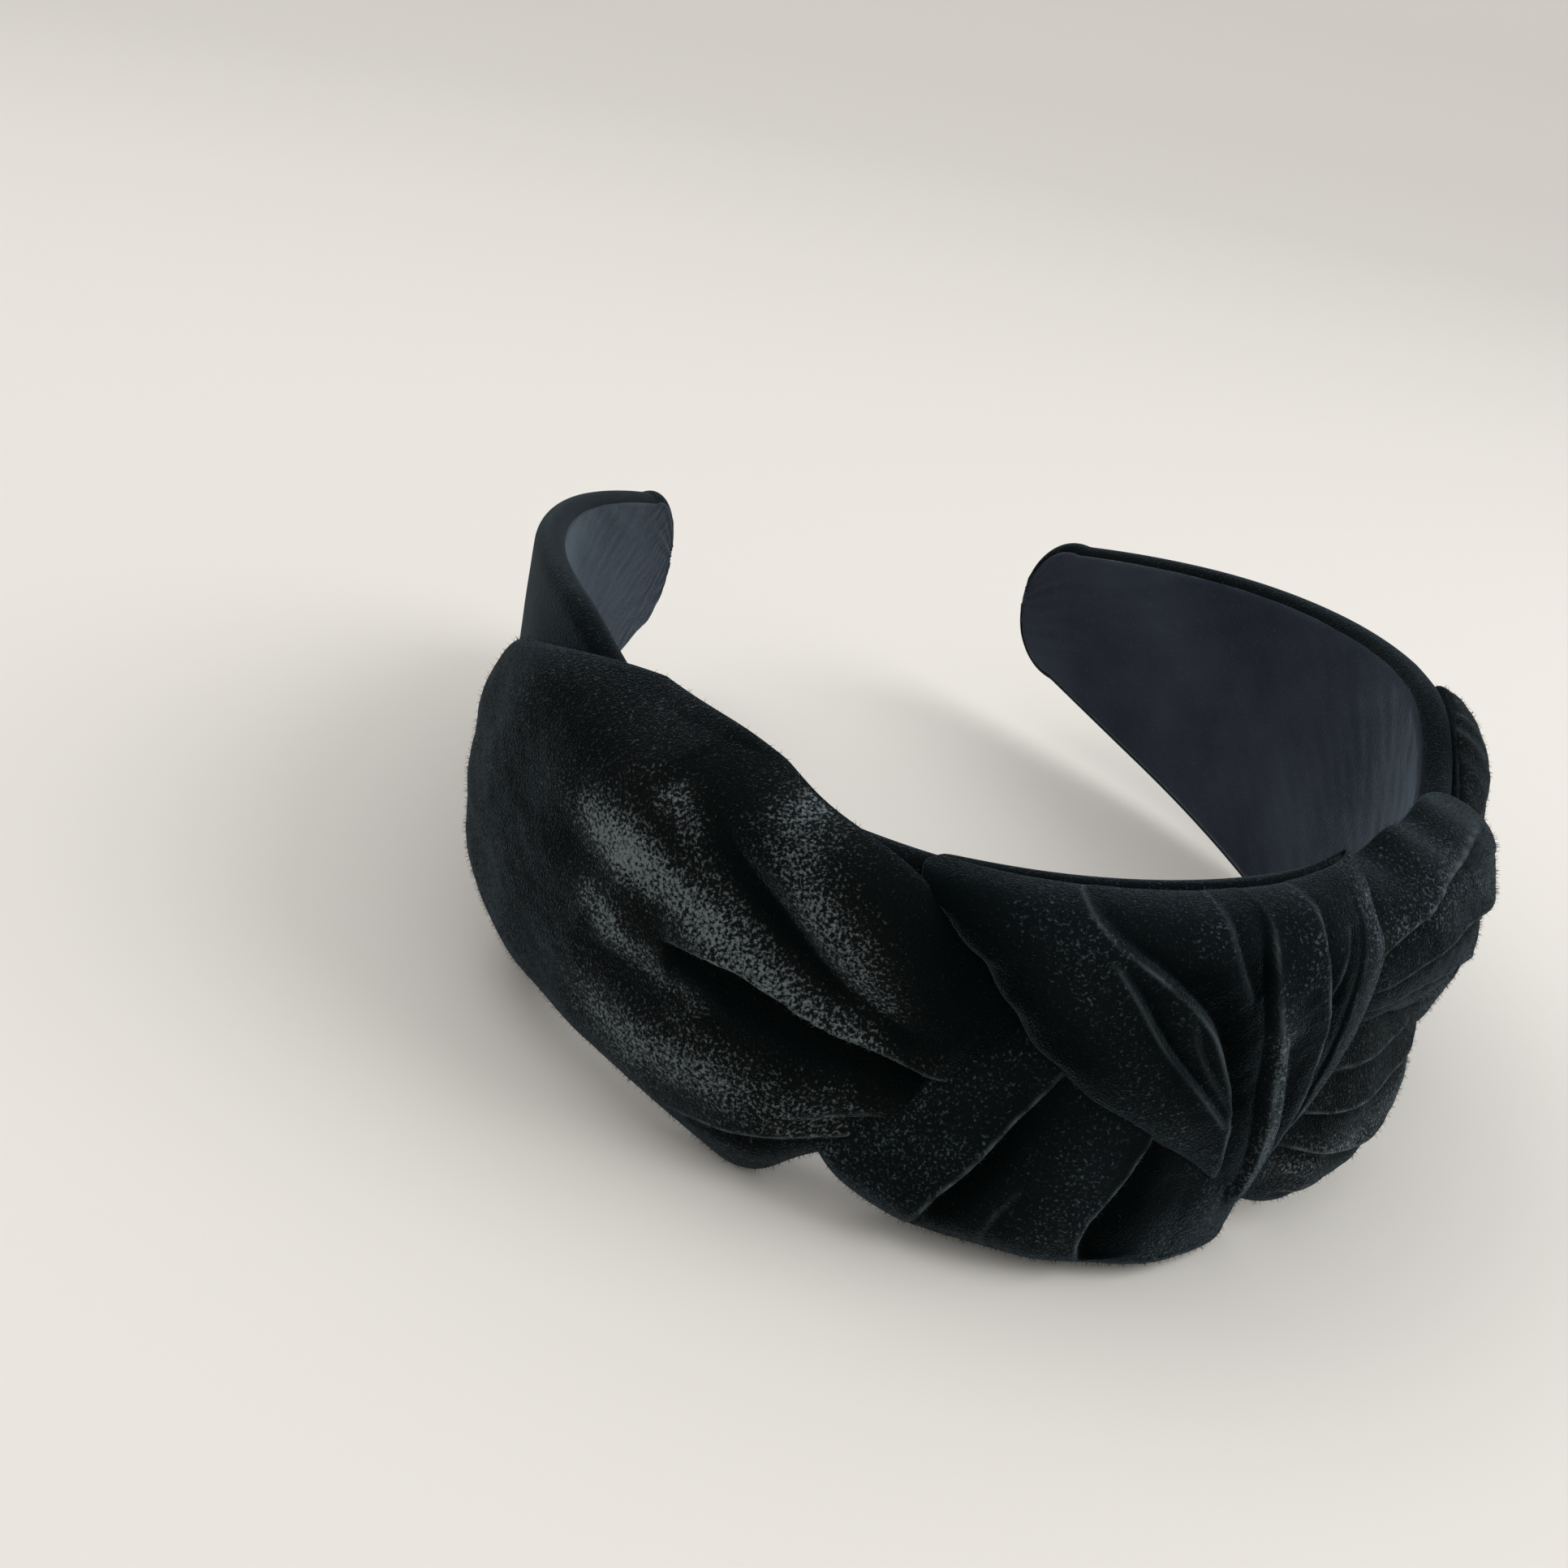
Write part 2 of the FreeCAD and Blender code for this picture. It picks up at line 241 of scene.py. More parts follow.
RISING_RIBS = (
    (-18, 3.5, 13, 3.5, 1.8, 0.8), (-24, 1.4, 18.5, 0.6, 4.4, 2.8), (-30, 5.2, 20.4, 1.6, 5.8, 4.9),
    (-32, 9.5, 19.8, 7.5, 6.0, 5.8), (-27, 16.5, 17, 14.5, 6.0, 5.6), (-21, 25, 9, 22, 5.8, 4.6),
    (-13, 34, 8, 29, 5.2, 2.8), (5, 45, 14, 32, 4.8, 2.2), (21, 51, 26, 31, 4.6, 3.6),
    (36, 52.8, 37, 29.5, 4.6, 5.2), (52, 53, 50, 27, 5.2, 5.6), (68, 50, 60, 20, 5.4, 5.6),
    (80, 38, 68, 12, 5.6, 5.4), (87, 27, 75, 6, 5.0, 4.4), (91, 16, 81, 2.5, 4.6, 3.2),
    (92, 11, 87, 3, 3.6, 1.0))
FAN_RIBS = (
    (-23, 47.4, 26, 47.4, -2.5, 0.3), (-25, 48.0, 28, 50.8, -1.8, 1.0), (-26.5, 48.9, 29, 52.6, 0.9, 1.8),
    (-28, 48.2, 30, 52.0, 4.0, 4.0),
    (-26.5, 46, 30.5, 47.5, 5.4, 5.8), (-20, 41, 30.5, 41, 6.0, 6.5), (-14, 33.5, 29, 33.5, 6.4, 6.6),
    (-7.5, 27, 26, 26, 6.6, 6.2), (2, 20.5, 22.5, 19.5, 6.6, 5.4), (10.5, 14.5, 19.4, 13.5, 6.6, 4.2),
    (13, 10, 18, 9, 6.4, 3.2), (14, 7, 17, 6.5, 5.4, 1.4))
END_RIBS = (
    (52, 20, 56, 42, 4.4, 1.0), (64, 11, 71, 48, 4.8, 3.2), (75, 5, 82, 54, 5.3, 4.8),
    (87, 2.5, 91, 55.3, 5.4, 5.2), (97, 4.0, 97, 55.2, 5.2, 5.0), (103, 6, 103, 53, 4.2, 3.8),
    (105.3, 16, 105.3, 43, 2.4, 0.8))
print("ribs:", *(len(ribs) for ribs in (PUFF_RIBS, RISING_RIBS, FAN_RIBS, END_RIBS)))

# %% [markdown]
# ## Folds
# A fold in velvet is a soft valley with a sharper rim on one side, where the cloth turns over
# itself, and a pale line is painted along that rim as a highlight. Each one is a path across the hoop, so it
# keeps its place when a rib is changed.

# %% Folds of each strand: path of s, z, then depth, width and how sharp the rim on its left is
PUFF_FOLDS = (
    (((-52, 30), (-45, 31), (-38, 29.5), (-30, 27), (-18, 23)), 4.2, 3.2, 0.9),
    (((-58, 51), (-48, 45), (-40, 39), (-32, 33), (-21, 27)), 3.6, 3.2, 0.0),
    (((-64, 24), (-52, 24), (-38, 22), (-25, 20)), 1.2, 4.0, 0.0),
    (((-50, 5), (-38, 9), (-27, 12.5)), 1.5, 1.8, 0.8),
    (((-34, 13.5), (-25, 17)), 0.9, 1.4, 0.6),
    (((-75, 10), (-60, 6), (-48, 4)), 0.8, 2.5, 0.3),
    (((-86, 34), (-72, 36), (-60, 34)), 0.6, 4.0, 0.0),
    (((19, 17), (30, 13), (42, 10.5), (60, 14)), 2.0, 1.8, 1.0),
    (((20, 21), (32, 19.5), (46, 20.5), (62, 22)), 1.8, 1.8, 1.0),
    (((25, 7), (36, 5.5), (50, 7)), 1.6, 1.5, 0.9),
    (((22, 26), (34, 25), (52, 25)), 1.0, 1.6, 0.8))
RISING_FOLDS = (
    (((-20, 2), (-18, 9), (-15, 15), (-12, 22), (-8, 29)), 2.4, 2.6, 1.0),
    (((-1.5, 3), (-2.3, 6), (-2.2, 10), (0, 15), (3, 22)), 2.6, 3.4, 1.0),
    (((-11, 2), (-12, 7), (-9.5, 13)), 0.8, 1.6, 0.5),
    (((8, 3), (8.5, 9), (8, 16)), 0.6, 3.0, 0.0),
    (((25, 42), (34, 47), (44, 50), (62, 50)), 1.6, 1.6, 1.0),
    (((26, 37), (34, 39.5), (45, 42.5), (60, 41), (72, 32)), 2.0, 1.8, 1.0),
    (((28, 33), (40, 35), (54, 34), (66, 26), (74, 14)), 1.6, 1.6, 1.0),
    (((60, 47), (72, 42), (82, 30), (87, 16)), 1.4, 1.6, 0.9))
FAN_FOLDS = (
    (((13, 11), (11.5, 16), (10, 22), (9, 28), (7, 33), (4, 39), (-1, 44), (-7, 48), (-12, 52)),
     2.0, 2.2, 1.0),
    (((9, 25), (5, 30), (0, 36), (-4, 42), (-7, 46)), 1.5, 1.5, 0.8),
    (((10, 26), (6.5, 31), (3.5, 36), (1.5, 41)), 0.8, 1.0, 0.7),
    (((8, 42), (5.5, 47), (4.5, 52)), 0.9, 1.2, 0.9),
    (((9, 53), (9, 47), (10, 42), (11.5, 36), (13, 28), (14.5, 20), (15.5, 12)), 1.9, 1.7, 1.0),
    (((18, 13), (17.3, 19), (16, 25), (14.5, 31), (12.5, 38)), 1.4, 1.2, 0.6),
    (((19.4, 17), (18.8, 26), (18.3, 32), (18.3, 38), (17.3, 42), (16, 48), (16, 53)), 1.9, 1.8, 1.0),
    (((18.6, 39), (19.5, 44), (20.5, 49)), 0.9, 1.0, 0.9),
    (((23, 52), (22, 42), (21.6, 34), (21, 26), (19.5, 16)), 1.0, 1.8, 0.5))
END_FOLDS = (
    (((58, 38), (70, 44), (84, 49), (98, 51)), 1.5, 1.6, 1.0),
    (((56, 32), (70, 36), (86, 40), (102, 40)), 1.6, 1.8, 1.0),
    (((60, 26), (74, 27), (88, 30), (100, 31)), 1.2, 1.6, 0.9),
    (((62, 18), (76, 16), (90, 18), (102, 22)), 1.5, 1.8, 0.9),
    (((70, 10), (82, 9), (96, 12)), 1.1, 1.6, 0.8))
print("folds:", *(len(folds) for folds in (PUFF_FOLDS, RISING_FOLDS, FAN_FOLDS, END_FOLDS)))

# %% [markdown]
# ## Streaks of crushed pile and painted shade
# Where velvet has been pressed its pile lies flat and shines; in deep folds it is nearly
# black. Both are painted into the colour along paths: above 0 is paler crushed pile whose
# shine is a painted highlight, below 0 is painted shade.

# %% Streaks of each strand: path of s, z, then half width in mm and strength; below 0 is painted shade
PUFF_STREAKS = (
    (((-65, 40), (-56, 38), (-47, 36), (-38, 31), (-29, 28.5)), 4.0, 1.0),
    (((-56, 47), (-48, 41), (-42, 36), (-36, 32)), 2.2, 0.9),
    (((-43, 49), (-38, 43), (-33, 38), (-28, 32)), 4.0, 1.0),
    (((-63, 30), (-57, 26.5), (-48, 24)), 2.6, 0.9),
    (((-60, 15), (-50, 14), (-40, 16), (-32, 15)), 5.0, 0.9),
    (((-50, 21), (-40, 19), (-30, 19)), 2.0, 0.6),
    (((24, 12), (40, 14), (60, 18)), 3.0, 0.5), (((-23, 46), (-20, 36), (-13, 29)), 6.0, -0.7),
    (((-50, 27.5), (-38, 26), (-24, 23)), 2.4, -0.6), (((-50, 44), (-38, 36.5), (-25, 28.5)), 1.6, -0.6))
RISING_STREAKS = (
    (((-11, 25), (-14, 14), (-17, 6)), 1.8, -0.6), (((2, 19), (1.5, 10), (0.5, 4)), 3.2, -0.6),
    (((-27, 6), (-20, 16)), 4.0, 0.25), (((9, 4), (16, 9)), 4.5, 0.3),
    (((-30, 9), (-25, 14), (-21, 22)), 2.0, 0.35), (((-14, 17), (-10.5, 25)), 1.2, 0.5),
    (((30, 46), (44, 48), (62, 46)), 3.0, 0.5))
FAN_STREAKS = (
    (((-25, 45), (-17, 38), (-9, 30)), 5.0, -0.7), (((3, 45), (7, 38), (10.5, 29)), 1.8, -0.6),
    (((8, 46), (9.3, 37), (12, 26)), 1.2, -0.6), (((20.4, 42), (20.4, 30), (20, 20)), 1.2, -0.6),
    (((15, 42), (16, 32), (17.5, 21)), 1.0, -0.5), (((-2, 38), (3, 30), (8, 23)), 1.2, -0.4),
    (((-13, 46), (-7, 36), (3, 25)), 3.5, 0.15),
    (((12, 37), (14, 30), (15.5, 22), (16, 14)), 1.6, 0.5),
    (((25.5, 50), (27, 40), (26, 31), (22, 22)), 2.6, 0.6), (((13, 13), (17.5, 12)), 2.2, 0.35))
END_STREAKS = (
    (((60, 36), (76, 42), (96, 46)), 3.0, 0.4), (((66, 20), (84, 22), (98, 26)), 3.0, 0.4))
print("streaks:", *(len(streaks) for streaks in (PUFF_STREAKS, RISING_STREAKS, FAN_STREAKS, END_STREAKS)))

# %% [markdown]
# ## From paths to heights and values
# Folds and streaks both ask one question: how far is this point of the cloth from a path, and
# on which side? The answer becomes a height for a fold and a value for a streak.

# %% Distance from a path
PATH_STEPS = 40             # straight steps in a smooth path
FAR = 1e9


def along_path(s, z, path):
    """Signed distance in mm from a path (left is positive) and the share along it."""
    line = smooth_rows(path, np.linspace(0, 1, PATH_STEPS))
    steps = np.diff(line, axis=0)
    near, share = np.full(s.shape, FAR), np.zeros_like(s)
    side = np.zeros_like(s)
    for i, (start, step) in enumerate(zip(line, steps)):
        ds, dz = s - start[0], z - start[1]
        t = np.clip((ds * step[0] + dz * step[1]) / (step @ step), 0, 1)
        gap = np.hypot(ds - t * step[0], dz - t * step[1])
        closer = gap < near
        near = np.where(closer, gap, near)
        share = np.where(closer, (i + t) / len(steps), share)
        side = np.where(closer, np.sign(step[0] * dz - step[1] * ds), side)
    return near * side, share


# %% Folds and streaks
CREASE = 0.13                        # mm over which the sharp side of a fold drops
RIM_GAP, RIM_HALF = 0.45, 0.22       # mm from the crease to its painted rim highlight, and that highlight's half width
RIM_RISE = 0.45                      # share of a fold's depth that its rim stands up
FULL_RIM_DEPTH = 1.5                 # mm; shallower folds have a fainter painted rim highlight


def fold_shape(s, z, folds):
    """Height change of the folds in mm, and where their rims stand and get a painted highlight."""
    change, rim_highlights = np.zeros_like(s), np.zeros_like(s)
    for path, depth, width, rim in folds:
        gap, share = along_path(s, z, path)
        x = gap / width
        fade = np.sin(np.pi * np.clip(share, 0.001, 0.999)) ** 0.5
        fade = fade * np.where((share <= 0) | (share >= 1), 0, 1)
        step = 1 / (1 + np.exp(-gap / CREASE))
        high = RIM_RISE * step * rim * np.exp(-np.maximum(x, 0) / 1.2)
        low = (1 - step * rim) * np.exp(-np.abs(x) ** 1.3 / 1.2)
        change += fade * depth * (high - low)
        uneven = 0.7 + 0.5 * np.sin(s * 1.7 + z)
        # painted highlight: a thin pale line along the top of the rim
        line = step ** 4 * np.exp(-((gap - RIM_GAP) / RIM_HALF) ** 2) * uneven
        rim_highlights = np.maximum(rim_highlights, rim * fade * line * min(depth / FULL_RIM_DEPTH, 1.0))
    return change, rim_highlights


def streak_shape(s, z, streaks):
    """Where the pile is crushed, paler with a painted sheen (above 0), or gets painted shade (below 0)."""
    crushed, shaded = np.zeros_like(s), np.zeros_like(s)
    for path, half, strength in streaks:
        gap, _ = along_path(s, z, path)
        level = strength * np.exp(-(gap / half) ** 2)
        crushed, shaded = np.maximum(crushed, level), np.minimum(shaded, level)
    return crushed + shaded


# %% [markdown]
# ## Values painted on the cloth
# The material has to know where a painted rim highlight or a streak of crushed pile and painted shade is, so
# both are kept as attributes of the points. Welding removes some points, so the values are found again by
# the nearest place.

# %% Painted values
def paint(piece, name, values):
    """A value on every point, for the material to read."""
    layer = piece.data.attributes.new(name, "FLOAT", "POINT")
    layer.data.foreach_set("value", np.asarray(values, np.float32))


def paint_nearest(piece, kept):
    """Paints values known at the kept points onto the welded piece, nearest point first."""
    tree = KDTree(len(kept["points"]))
    for i, point in enumerate(kept["points"]):
        tree.insert(point, i)
    tree.balance()
    nearest = [tree.find(v.co)[1] for v in piece.data.vertices]
    for name in ("rim", "crush"):
        paint(piece, name, kept[name][nearest])

# %% [markdown]
# ## A stuffed tube
# Round the tube, most points lie on the face that shows and the rest on the flatter back. The
# tube's long edges roll over the edge of the hoop, so that no gap shows between the two.

# %% A strand from its ribs
TOP_SHARE = 0.7             # of the points round a tube, on the face that shows
BACK_RISE = 0.8             # how full the back is beside the face
EDGE_N = -1.6               # a strand's edge rolls over the edge of the hoop to this n
ROLL_START, ROLL_LENGTH = 5.0, 9.0      # mm inside the hoop's edge, and over which the roll grows
BOTTOM_ROLL = 0.2           # the lower edge rolls less than the upper one
OVER_BAND_N, OVER_EDGE_N = 2.5, -3.2    # no point goes below these, over the band and past its edge
FLOOR_GAP, TOP_GAP = 0.8, 0.2           # mm kept inside the band's full width
CREST_BASE, CREST_GAIN = 0.10, 0.24     # painted highlight on every crest, with less of it and painted shade in the valleys
THIN = 0.3                  # mm, least half thickness


def round_section(u):
    """For u round a tube: is it on the face, its share of the width, and how full it is there."""
    top = u < TOP_SHARE
    turn = np.where(top, u / TOP_SHARE, (u - TOP_SHARE) / (1 - TOP_SHARE))
    share = 0.5 - 0.5 * np.cos(np.pi * turn)
    share = np.where(top, 0.62 * share + 0.38 * turn, share)
    return top, np.where(top, share, 1 - share), np.clip(4 * share * (1 - share), 0, 1)


def edge_tuck(z, beyond, full, middle_n):
    """How far in mm a strand's edge rolls down over the edge of the hoop."""
    roll = np.clip((beyond + ROLL_START) / ROLL_LENGTH, 0, 1) ** 2 * (1 - full) ** 1.5
    return roll * np.where(z > MID_Z, 1.0, BOTTOM_ROLL) * np.clip(middle_n - EDGE_N, 0, 9)


def strand(name, ribs, folds, streaks, across, along, seed, ripple=0.5, wrinkles=1.0):
    """A stuffed velvet tube through its ribs, with its folds and painted values."""
    kept = {}

    def shape(u, v):
        row = smooth_rows(ribs, v)
        top, a, full = round_section(u)
        s = row[:, 0] + (row[:, 2] - row[:, 0]) * a
        z = row[:, 1] + (row[:, 3] - row[:, 1]) * a
        half = np.maximum(row[:, 5], THIN)
        rise = half * full ** 0.5
        wrinkle = 0.40 * hills(s / 14, z / 14, seed) + 0.07 * hills(s / 4.5, z / 4.5, seed + 1)
        soft = np.clip(half / 4.0, 0, 1) * full ** 0.5
        folded, rim_highlight = fold_shape(s, z, folds)
        beyond = np.abs(z - MID_Z) - half_width(s)
        face = rise + soft * (folded + wrinkles * wrinkle)
        n = row[:, 4] - edge_tuck(z, beyond, full, row[:, 4]) + np.where(top, face, -BACK_RISE * rise)
        edge = np.where(a < 0.5, -1.0, 1.0) * np.clip(1 - full, 0, 1) ** 2
        z = z + edge * ripple * np.clip(half / 3, 0, 1) * hills(0 * a + 3 * (a > 0.5), 10 * v, seed + 2)
        lowest_n = np.where(beyond < -0.8, OVER_BAND_N, OVER_EDGE_N)
        # painted highlight along the fold rims
        kept["rim"] = np.where(top, rim_highlight, 0.0)
        # painted highlight on crests and painted shade in valleys, added to the streaks' crushed pile and
        # painted shade
        crest_light_and_shade = CREST_BASE + CREST_GAIN * np.clip(folded + wrinkle, -1, 1)
        kept["crush"] = np.where(top, streak_shape(s, z, streaks) + crest_light_and_shade, 0.0)
        kept["points"] = on_hoop(s, np.clip(z, FLOOR_GAP, 2 * MID_Z - TOP_GAP), np.maximum(n, lowest_n))
        return kept["points"]

    piece = shaped_grid(name, across, along, shape)
    paint_nearest(piece, kept)
    print(name, len(piece.data.vertices), "points")
    return piece


# %% Make the strands
puff = strand("puff_strand", PUFF_RIBS, PUFF_FOLDS, PUFF_STREAKS, 250, 360, 1)
rising = strand("rising_strand", RISING_RIBS, RISING_FOLDS, RISING_STREAKS, 250, 340, 2, ripple=0.9)
fan = strand("fan_strand", FAN_RIBS, FAN_FOLDS, FAN_STREAKS, 360, 220, 3, wrinkles=0.7)
fan_end = strand("fan_strand_end", END_RIBS, END_FOLDS, END_STREAKS, 250, 180, 4, ripple=0.3)
strands = (puff, rising, fan, fan_end)

# %% [markdown]
# ## The wrapped hoop
# Under the plait and along both legs the hoop is wrapped in one layer of velvet. On the real
# band it is one strip from tip to tip; here it is two halves that meet in the middle of the
# crown, one for each leg. The strip covers the outer face,
# rolls over both edges and stops in a hem on the inner face, and it closes round the tip.

# %% Wrap
WRAP_TOP = 2.3                       # n of the wrap's face
HEM = 2.6                            # how far the hem reaches over the inner face
CAP_START, CAP_LENGTH = 0.98, 0.4    # where the rows start to close the tip, and how far they bulge
TUCK_START, TUCK_LENGTH = 4.0, 2.0   # mm before the end where the two hems come together
FULL_HALF = 9.0                      # half width below which the wrap gets thinner
FACE_PUFF = 0.35                     # mm that the face stands up between its edges
HEM_END, EDGE_END, FACE_END, BACK_END = (share / 6 for share in (1, 2, 4, 5))    # shares of u


def share_of(u, start, end):
    """How far u has come from start to end, 0 to 1."""
    return np.clip((u - start) / (end - start), 0, 1)


def wrap(name, side):
    """Velvet over the outer face and edges of half of the hoop."""
    def shape(u, v):
        s = station(np.minimum(v / CAP_START, 1))
        wide = half_width(s)
        cap = share_of(v, CAP_START, 1) * np.pi / 2
        tuck = np.clip((s - (HOOP_END - TUCK_START)) / TUCK_LENGTH, 0, 1)
        hem = np.minimum(HEM, 0.75 * wide) * (1 - tuck) + wide * tuck
        thick = WRAP_TOP * np.sqrt(np.clip(wide / FULL_HALF, 0.1, 1))
        flat = wide - thick
        hem_width = flat - (wide - hem)
        arc = share_of(u, HEM_END, EDGE_END) * np.pi
        arc_back = share_of(u, FACE_END, BACK_END) * np.pi
        z_low = -flat + hem_width * (1 - share_of(u, 0, HEM_END)) - thick * np.sin(arc)
        z_high = flat + thick * np.sin(arc_back) - hem_width * share_of(u, BACK_END, 1)
        z_face = flat * (2 * share_of(u, EDGE_END, FACE_END) - 1)
        low, high = u < EDGE_END, u > FACE_END
        z = np.where(low, z_low, np.where(high, z_high, z_face))
        n = np.where(low, -thick * np.cos(arc), np.where(high, thick * np.cos(arc_back), thick))
        outer = np.clip((u - EDGE_END) * (FACE_END - u) * 36, 0, 1)
        ripple = 0.20 * hills(3 * u, s / 30, 11) + 0.10 * hills(9 * u, s / 14, 12)
        n = n + outer * (FACE_PUFF + ripple) * np.clip(wide / 8, 0, 1)
        z, n = z * np.cos(cap), n * np.cos(cap)
        return on_hoop(side * (s + CAP_LENGTH * np.sin(cap)), MID_Z + z, n)

    return shaped_grid(name, 150, 260, shape, tube=False)


# %% [markdown]
# ## The lining
# A strip of smoother velvet covers the plastic on the inside and is glued over the hems. Its
# edges are pressed down, and faint creases run across it where it follows the bend.

# %% Lining
LINING_INSET = 1.6                   # mm from the edge of the band
LINING_LIFT, LINING_FULL = 0.15, 0.55    # its edge lies below the hem; its middle stands up


def lining(name, side):
    """The inner strip, over the hems."""
    def shape(u, v):
        s = station(v, LINING_INSET)
        wide = half_width(s, LINING_INSET)
        z = wide * (2 * u - 1)
        edge = np.clip(4 * u * (1 - u) * 12, 0, 1) ** 0.5
        crease = 0.12 * hills(5 * (u + v * 2), s / 40, 21) + 0.05 * hills(14 * (u - v * 3), s / 12, 22)
        n = -WRAP_TOP + LINING_LIFT - LINING_FULL * edge + crease * edge
        return on_hoop(side * s, MID_Z + z, n)

    return shaped_grid(name, 90, 240, shape, tube=False)


# %% Make the wraps and linings
wraps = {}
linings = {}
for word, side in (("left", -1), ("right", 1)):
    wraps[word] = wrap("wrap_" + word, side)
    linings[word] = lining("lining_" + word, side)
for piece in (*strands, *wraps.values(), *linings.values()):
    spots = np.array([v.co for v in piece.data.vertices]) / MM
    print(piece.name, spots.min(axis=0).round(1), spots.max(axis=0).round(1))

# %% [markdown]
# ## Thickness of the sheets
# Velvet is nearly a millimetre thick, and an open sheet would show its bare edge. Solidify
# gives it a wall towards the hoop. That needs normals that all look away from the hoop, and a
# curled sheet can fool the recalculation, so the faces in the middle of the band decide.

# %% Give the sheets their thickness, with normals outward
WRAP_WALL, LINING_WALL = 0.9, 0.8    # mm
MIDDLE_BAND = 0.35 * CROWN_HALF      # mm each side of the middle


def edit_all(*steps):
    """Run edit-mode operators on the whole active piece."""
    bpy.ops.object.mode_set(mode="EDIT")
    bpy.ops.mesh.select_all(action="SELECT")
    for step, values in steps:
        step(**values)
    bpy.ops.object.mode_set(mode="OBJECT")


def thicken(piece, thickness, outward):
    """Solidify towards the hoop; `outward` says which way a point's face should look."""
    deselect()
    piece.select_set(True)
    bpy.context.view_layer.objects.active = piece
    edit_all((bpy.ops.mesh.remove_doubles, {"threshold": WELD}),
             (bpy.ops.mesh.normals_make_consistent, {"inside": False}))
    middle = [p for p in piece.data.polygons if abs(p.center.z - MID_Z * MM) < MIDDLE_BAND * MM]
    if sum(outward(p.center).dot(p.normal) for p in middle) < 0:
        edit_all((bpy.ops.mesh.flip_normals, {}))
    solid = piece.modifiers.new("thickness", "SOLIDIFY")
    solid.thickness = thickness * MM
    solid.offset = -1
    bpy.ops.object.modifier_apply(modifier=solid.name)
    print(piece.name, len(piece.data.polygons), "faces with its wall")


def from_hoop_axis(point):
    return Vector((point.x, point.y, 0))


def to_hoop_axis(point):
    return -from_hoop_axis(point)


for word in ("left", "right"):
    thicken(wraps[word], WRAP_WALL, from_hoop_axis)
    thicken(linings[word], LINING_WALL, to_hoop_axis)

# %% [markdown]
# ## Velvet
# Velvet is a woven ground with a dense upright pile. Looked at from straight above it is
# nearly black; where the pile is seen edge on, or has been crushed, it shines pale. Sheen gives
# the edge, and speckles of a paler colour over a fine bump give the crushed pile, its shine painted into the
# colour. What all the
# velvets share is one node group: it puts out how crushed the pile is with the painted highlight and shade,
# its height and a tone.

# %% Node helpers
def feed(tree, socket, value):
    """Link another node's output to a socket, or set the socket's own value."""
    if isinstance(value, bpy.types.NodeSocket):
        tree.links.new(value, socket)
    else:
        socket.default_value = value


def maths(tree, operation, *values, clamp=False):
    node = tree.nodes.new("ShaderNodeMath")
    node.operation, node.use_clamp = operation, clamp
    for socket, value in zip(node.inputs, values):
        feed(tree, socket, value)
    return node.outputs[0]


def noise(tree, scale, detail, roughness=0.5, distortion=0.0):
    """Noise on Object coordinates."""
    node, place = tree.nodes.new("ShaderNodeTexNoise"), tree.nodes.new("ShaderNodeTexCoord")
    tree.links.new(place.outputs["Object"], node.inputs["Vector"])
    named = {"Scale": scale, "Detail": detail, "Roughness": roughness, "Distortion": distortion}
    for name, value in named.items():
        feed(tree, node.inputs[name], value)
    return node.outputs["Fac"]


def spread(tree, value, low, high, to_low=0.0, to_high=1.0):
    """Map a value so that low to high becomes to_low to to_high."""
    node = tree.nodes.new("ShaderNodeMapRange")
    named = {"Value": value, "From Min": low, "From Max": high, "To Min": to_low, "To Max": to_high}
    for name, amount in named.items():
        feed(tree, node.inputs[name], amount)
    return node.outputs["Result"]


def mixed(tree, factor, one, other):
    """A colour between two colours."""
    node = tree.nodes.new("ShaderNodeMix")
    node.data_type = "RGBA"
    for name, value in (("Factor", factor), ("A", one), ("B", other)):
        feed(tree, node.inputs[name], value)
    return node.outputs["Result"]


# %% Shared node group: pile, crushed patches, and painted highlight and shade
PATCH_TOP = 0.95            # noise above this is crushed all over
GRAIN_START, GRAIN_RANGE = 0.60, 0.17    # grain that shows pale where nothing is crushed, and its step
CRUSH_BASE, CRUSH_GAIN = 0.36, 0.75      # strength of a grain, and how crushing and the painted highlight and shade change it
TONE_GAIN = 0.8             # how crushing or painted shade moves the ground's tone
CLUMPS = 2.0                # how the tone breaks up a streak
TONE_SCALE, FINE_SCALE = 38.0, 4500.0    # per metre


